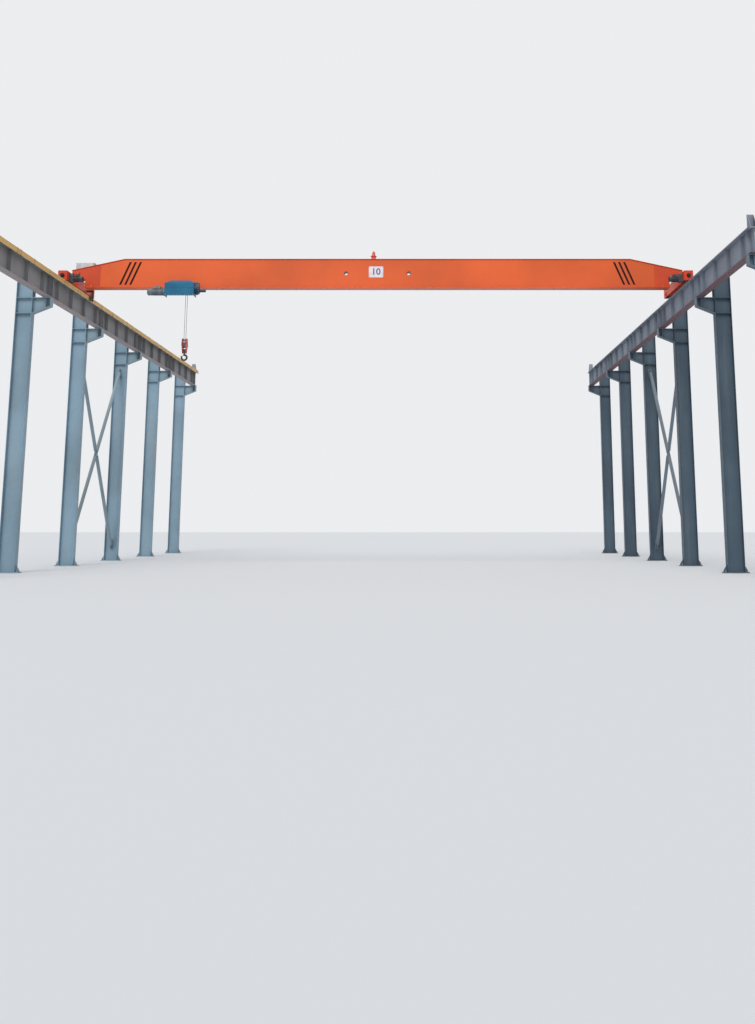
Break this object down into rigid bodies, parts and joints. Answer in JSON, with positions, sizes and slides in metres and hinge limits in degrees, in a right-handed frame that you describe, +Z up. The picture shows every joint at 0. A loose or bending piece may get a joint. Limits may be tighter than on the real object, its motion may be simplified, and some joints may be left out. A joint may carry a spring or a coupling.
{
  "type": "overhead bridge crane",
  "caption": "Single-girder overhead bridge crane on a raised runway of columns, corbels and beams, with a rope hoist trolley and hook block.",
  "frame": {"origin": "floor level under the middle of the runway, midway between the rails", "axes": "+X along the girder to the right rail, +Y along the runway away from the near end, +Z up"},
  "size_m": [24.84, 30.56, 11.69],
  "materials": {
    "column_paint": "satin blue-grey paint",
    "beam_paint": "dull grey paint, dusty",
    "rail_steel": "rolled steel, bright on the running face",
    "girder_paint": "semi-gloss orange paint",
    "bar_plastic": "dusty yellow insulation",
    "dark_steel": "dark grey paint",
    "motor_paint": "dark grey enamel",
    "gear_paint": "dark enamel",
    "buffer_rubber": "matte black rubber",
    "beacon_plastic": "glossy red lens",
    "wheel_iron": "machined cast steel",
    "hoist_paint": "semi-gloss blue paint",
    "cabinet_paint": "light grey powder coat",
    "drum_steel": "turned steel, greased",
    "rope_steel": "greased wire rope",
    "block_paint": "red paint",
    "hook_steel": "dark forged steel"
  },
  "bodies": {
    "runway": {"left_columns": "column_paint", "right_columns": "column_paint", "left_corbels": "column_paint", "right_corbels": "column_paint", "left_beams": "beam_paint", "right_beams": "beam_paint", "left_rail": "rail_steel", "right_rail": "rail_steel", "end_stops": "girder_paint", "left_bracing": "column_paint", "right_bracing": "column_paint", "conductor_bars": "bar_plastic", "conductor_brackets": "beam_paint"},
    "bridge": {"front_web": "girder_paint", "rear_web": "girder_paint", "top_flange": "girder_paint", "bottom_flange": "girder_paint", "end_plates": "girder_paint", "lifting_pipes": "dark_steel", "left_truck": "girder_paint", "right_truck": "girder_paint", "girder_seats": "girder_paint", "buffers": "buffer_rubber", "travel_drives": "motor_paint", "collector": "dark_steel", "beacon": "beacon_plastic", "electric_cabinet": "cabinet_paint"},
    "near_wheel_pair": {"near_wheels": "wheel_iron"},
    "far_wheel_pair": {"far_wheels": "wheel_iron"},
    "trolley": {"trolley_plates": "hoist_paint", "crossbars": "dark_steel", "drum_frame": "hoist_paint", "drum_cover": "hoist_paint", "hoist_motor": "motor_paint", "hoist_gearbox": "gear_paint", "control_cabinet": "hoist_paint", "trolley_drive": "motor_paint", "rope_anchor": "dark_steel"},
    "left_trolley_pair": {"left_trolley_wheels": "wheel_iron"},
    "right_trolley_pair": {"right_trolley_wheels": "wheel_iron"},
    "drum": {"rope_drum": "drum_steel", "wound_rope": "rope_steel"},
    "hook_block": {"block_cheeks": "block_paint", "crosshead": "dark_steel", "hoist_ropes": "rope_steel"},
    "sheave": {"block_sheave": "wheel_iron"},
    "swivel_hook": {"hook": "hook_steel", "latch": "dark_steel"}
  },
  "joints": [
    {"name": "bridge_travel", "type": "slide", "parent": "runway", "child": "bridge", "axis": [0, 1, 0], "range_m": [-7.16, 19.16]},
    {"name": "trolley_travel", "type": "slide", "parent": "bridge", "child": "trolley", "axis": [1, 0, 0], "range_m": [-2.375, 17.275]},
    {"name": "hook_lift", "type": "slide", "parent": "trolley", "child": "hook_block", "axis": [0, 0, 1], "range_m": [-7.2, 1.5], "deforming": ["hoist_ropes"]},
    {"name": "hook_swivel", "type": "hinge", "parent": "hook_block", "child": "swivel_hook", "pos_m": [-7.054, -6.32, 7.8], "axis": [0, 0, 1], "continuous": true},
    {"name": "near_wheels_turn", "type": "hinge", "parent": "bridge", "child": "near_wheel_pair", "pos_m": [0, -7.3, 10.3103], "axis": [1, 0, 0], "continuous": true},
    {"name": "far_wheels_turn", "type": "hinge", "parent": "bridge", "child": "far_wheel_pair", "pos_m": [0, -4.7, 10.3103], "axis": [1, 0, 0], "continuous": true},
    {"name": "left_trolley_wheels_turn", "type": "hinge", "parent": "trolley", "child": "left_trolley_pair", "pos_m": [-7.535, -6, 10.3303], "axis": [0, 1, 0], "continuous": true},
    {"name": "right_trolley_wheels_turn", "type": "hinge", "parent": "trolley", "child": "right_trolley_pair", "pos_m": [-6.915, -6, 10.3303], "axis": [0, 1, 0], "continuous": true},
    {"name": "drum_turn", "type": "hinge", "parent": "trolley", "child": "drum", "pos_m": [-7.225, -6.62, 10.08], "axis": [1, 0, 0], "continuous": true},
    {"name": "sheave_turn", "type": "hinge", "parent": "hook_block", "child": "sheave", "pos_m": [-7.054, -6.32, 8.1], "axis": [1, 0, 0], "continuous": true}
  ],
  "couplings": [
    {"joint": "near_wheels_turn", "follows": "bridge_travel", "rad_per_m": -6.6667},
    {"joint": "far_wheels_turn", "follows": "bridge_travel", "rad_per_m": -6.6667},
    {"joint": "left_trolley_wheels_turn", "follows": "trolley_travel", "rad_per_m": 14.286},
    {"joint": "right_trolley_wheels_turn", "follows": "trolley_travel", "rad_per_m": 14.286},
    {"joint": "drum_turn", "follows": "hook_lift", "rad_per_m": 13.333},
    {"joint": "sheave_turn", "follows": "hook_lift", "rad_per_m": -6.6667}
  ]
}
